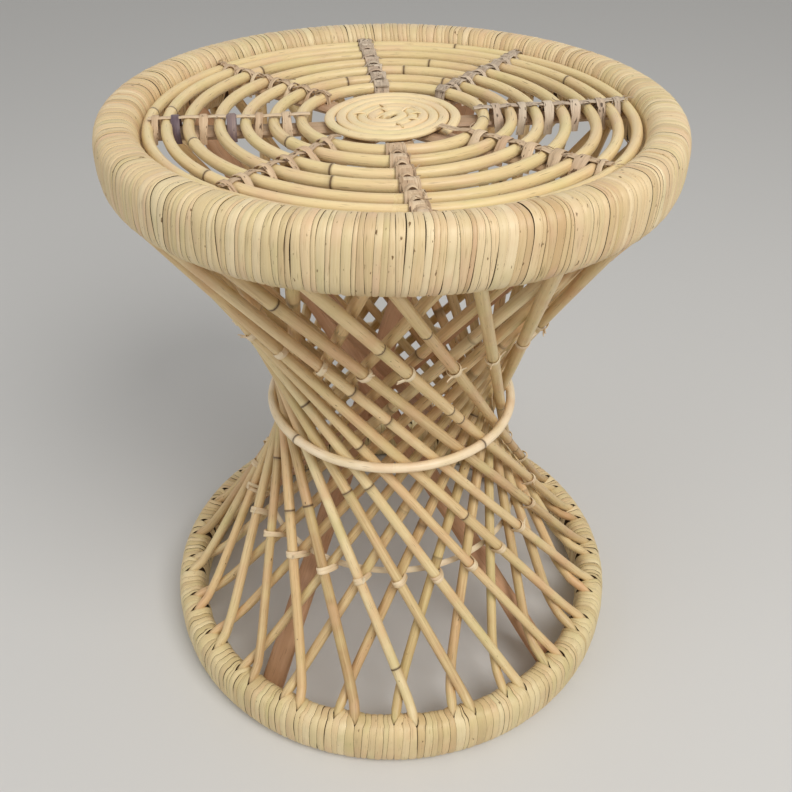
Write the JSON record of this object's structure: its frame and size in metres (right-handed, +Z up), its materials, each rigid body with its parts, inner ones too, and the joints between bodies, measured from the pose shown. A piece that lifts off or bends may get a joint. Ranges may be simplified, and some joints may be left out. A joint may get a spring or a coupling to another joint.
{
  "type": "mudda stool",
  "caption": "Hourglass cane stool: a lattice of crossing rods between a wrapped base ring and a wrapped rim, with a woven cane seat.",
  "frame": {"origin": "on the floor, in the middle of the base ring", "axes": "+Z up along the stool's axis, -Y towards the front of the picture"},
  "size_m": [0.39, 0.3894, 0.458],
  "materials": {
    "cane_wrap": "flat cane strip wound in close turns, satin, pale straw with darker cracks",
    "cane_rod": "round peeled cane, satin, warm straw with dark nodes",
    "cane_hoop": "round peeled cane, satin, pale",
    "tie_strip": "flat cane strip, matt, whitish pink",
    "bamboo_split": "split bamboo, satin skin side, reddish brown",
    "seat_cane": "round peeled cane, satin, yellow straw",
    "seat_coil": "round peeled cane, satin, pale straw",
    "bark_lashing": "thin bark strip, matt, taupe brown"
  },
  "bodies": {
    "root": {"base_ring": "cane_wrap", "rim_ring": "cane_wrap", "outer_rod_01": "cane_rod", "outer_rod_02": "cane_rod", "outer_rod_03": "cane_rod", "outer_rod_04": "cane_rod", "outer_rod_05": "cane_rod", "outer_rod_06": "cane_rod", "outer_rod_07": "cane_rod", "outer_rod_08": "cane_rod", "outer_rod_09": "cane_rod", "outer_rod_10": "cane_rod", "outer_rod_11": "cane_rod", "outer_rod_12": "cane_rod", "outer_rod_13": "cane_rod", "outer_rod_14": "cane_rod", "outer_rod_15": "cane_rod", "outer_rod_16": "cane_rod", "outer_rod_17": "cane_rod", "outer_rod_18": "cane_rod", "outer_rod_19": "cane_rod", "outer_rod_20": "cane_rod", "outer_rod_21": "cane_rod", "outer_rod_22": "cane_rod", "outer_rod_23": "cane_rod", "outer_rod_24": "cane_rod", "outer_rod_25": "cane_rod", "inner_rod_01": "cane_rod", "inner_rod_02": "cane_rod", "inner_rod_03": "cane_rod", "inner_rod_04": "cane_rod", "inner_rod_05": "cane_rod", "inner_rod_06": "cane_rod", "inner_rod_07": "cane_rod", "inner_rod_08": "cane_rod", "inner_rod_09": "cane_rod", "inner_rod_10": "cane_rod", "inner_rod_11": "cane_rod", "inner_rod_12": "cane_rod", "inner_rod_13": "cane_rod", "inner_rod_14": "cane_rod", "inner_rod_15": "cane_rod", "inner_rod_16": "cane_rod", "inner_rod_17": "cane_rod", "inner_rod_18": "cane_rod", "inner_rod_19": "cane_rod", "inner_rod_20": "cane_rod", "inner_rod_21": "cane_rod", "inner_rod_22": "cane_rod", "inner_rod_23": "cane_rod", "inner_rod_24": "cane_rod", "inner_rod_25": "cane_rod", "waist_hoop": "cane_hoop", "tie_strip": "tie_strip", "leg_split_1": "bamboo_split", "leg_split_2": "bamboo_split", "leg_split_3": "bamboo_split", "leg_split_4": "bamboo_split", "seat_grille": "seat_cane", "seat_coil": "seat_coil"}
  },
  "joints": []
}
